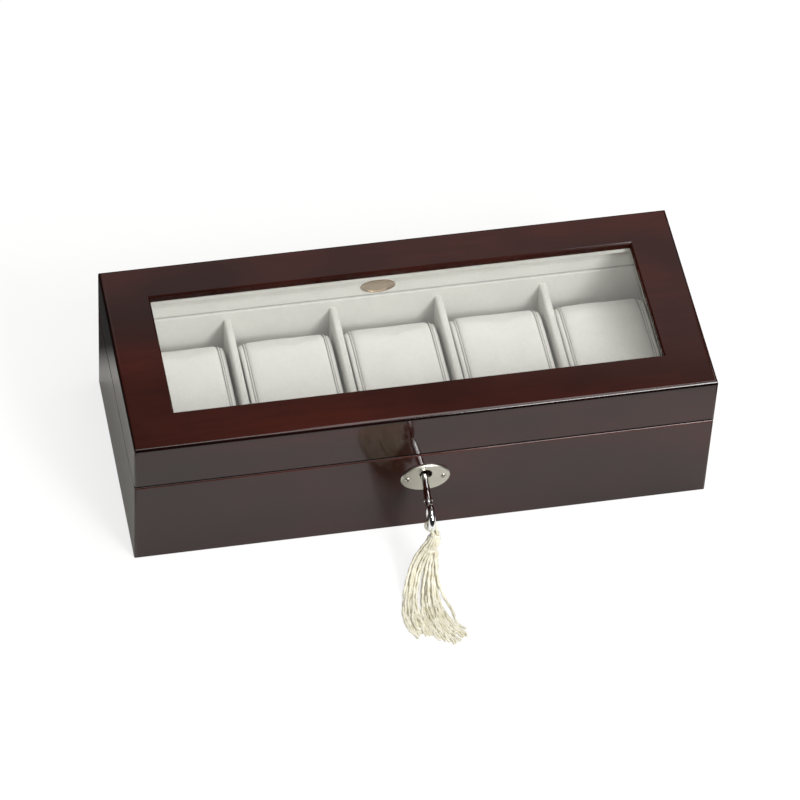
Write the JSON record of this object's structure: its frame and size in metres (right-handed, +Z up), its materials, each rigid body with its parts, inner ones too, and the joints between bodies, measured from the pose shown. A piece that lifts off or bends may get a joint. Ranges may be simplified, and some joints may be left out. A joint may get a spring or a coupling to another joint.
{
  "type": "watch display box",
  "caption": "Long lacquered wooden display box with a glazed hinged lid, suede-lined compartments with loose cushions, and a front lock with its key and tassel.",
  "frame": {"origin": "centre of the felt underside", "axes": "+X to the right along the box, +Y from the lock to the hinges, +Z up"},
  "size_m": [0.31, 0.2106, 0.0875],
  "materials": {
    "lacquered_wood": "dark red-brown stain under gloss lacquer",
    "suede": "cream imitation suede",
    "cushion_suede": "cream imitation suede, stitched",
    "bare_board": "unfinished board",
    "dark_felt": "felt",
    "clear_glass": "clear float glass",
    "bronze_plate": "satin",
    "brass": "satin",
    "chrome_key": "polished",
    "ivory_cord": "silky twisted cord",
    "bright_steel": "bright",
    "satin_nickel": "satin nickel"
  },
  "bodies": {
    "base": {"base_front_wall": "lacquered_wood", "base_left_wall": "lacquered_wood", "base_back_wall": "lacquered_wood", "base_right_wall": "lacquered_wood", "bottom_board": "bare_board", "base_felt": "dark_felt", "lock_plate": "satin_nickel", "lock_cap": "bright_steel", "lock_screws": "bright_steel", "escutcheon": "satin_nickel", "escutcheon_screws": "bright_steel", "floor_lining": "suede", "base_lining_front": "suede", "base_lining_left": "suede", "base_lining_back": "suede", "base_lining_right": "suede", "divider_1": "suede", "divider_2": "suede", "divider_3": "suede", "divider_4": "suede", "hinge_base_leaf_left": "satin_nickel", "hinge_base_leaf_right": "satin_nickel", "hinge_pin_left": "bright_steel", "hinge_pin_right": "bright_steel", "hinge_base_screws": "bright_steel"},
    "lid": {"lid_front_wall": "lacquered_wood", "lid_left_wall": "lacquered_wood", "lid_back_wall": "lacquered_wood", "lid_right_wall": "lacquered_wood", "lid_top_panel": "lacquered_wood", "glass_pane": "clear_glass", "glass_strip_front": "suede", "glass_strip_left": "suede", "glass_strip_back": "suede", "glass_strip_right": "suede", "lid_lining_front": "suede", "lid_lining_left": "suede", "lid_lining_back": "suede", "lid_lining_right": "suede", "name_plate": "bronze_plate", "strike_plate": "satin_nickel", "strike_screws": "bright_steel", "hinge_lid_leaf_left": "satin_nickel", "hinge_lid_leaf_right": "satin_nickel", "hinge_lid_screws": "bright_steel"},
    "lock_hub": {"lock_hub": "brass"},
    "lock_bolt": {"lock_bolt": "satin_nickel"},
    "key": {"key": "chrome_key"},
    "tassel": {"tassel_loop": "ivory_cord", "tassel_head": "ivory_cord", "tassel_skirt": "ivory_cord"},
    "cushion_1": {"cushion_1": "cushion_suede"},
    "cushion_2": {"cushion_2": "cushion_suede"},
    "cushion_3": {"cushion_3": "cushion_suede"},
    "cushion_4": {"cushion_4": "cushion_suede"},
    "cushion_5": {"cushion_5": "cushion_suede"}
  },
  "joints": [
    {"name": "lid_hinge", "type": "hinge", "parent": "base", "child": "lid", "pos_m": [0, 0.066, 0.05715], "axis": [-1, 0, 0], "range_deg": [0, 100]},
    {"name": "key_turn", "type": "hinge", "parent": "base", "child": "lock_hub", "pos_m": [0, -0.0587, 0.042], "axis": [0, 1, 0], "range_deg": [0, 90]},
    {"name": "bolt_slide", "type": "slide", "parent": "base", "child": "lock_bolt", "axis": [1, 0, 0], "range_m": [0, 0.00594]},
    {"name": "key_withdraw", "type": "slide", "parent": "lock_hub", "child": "key", "axis": [0, -1, 0], "range_m": [0, 0.02]},
    {"name": "tassel_swing", "type": "hinge", "parent": "key", "child": "tassel", "pos_m": [-0.00318, -0.09418, 0.0363], "axis": [0, 1, 0], "range_deg": [-90, 0]},
    {"name": "cushion_1_lift", "type": "slide", "parent": "base", "child": "cushion_1", "axis": [0, 0, 1], "range_m": [0, 0.03]},
    {"name": "cushion_2_lift", "type": "slide", "parent": "base", "child": "cushion_2", "axis": [0, 0, 1], "range_m": [0, 0.03]},
    {"name": "cushion_3_lift", "type": "slide", "parent": "base", "child": "cushion_3", "axis": [0, 0, 1], "range_m": [0, 0.03]},
    {"name": "cushion_4_lift", "type": "slide", "parent": "base", "child": "cushion_4", "axis": [0, 0, 1], "range_m": [0, 0.03]},
    {"name": "cushion_5_lift", "type": "slide", "parent": "base", "child": "cushion_5", "axis": [0, 0, 1], "range_m": [0, 0.03]}
  ],
  "couplings": [
    {"joint": "bolt_slide", "follows": "key_turn", "m_per_rad": 0.0037813},
    {"joint": "tassel_swing", "follows": "key_turn", "ratio": -1}
  ]
}
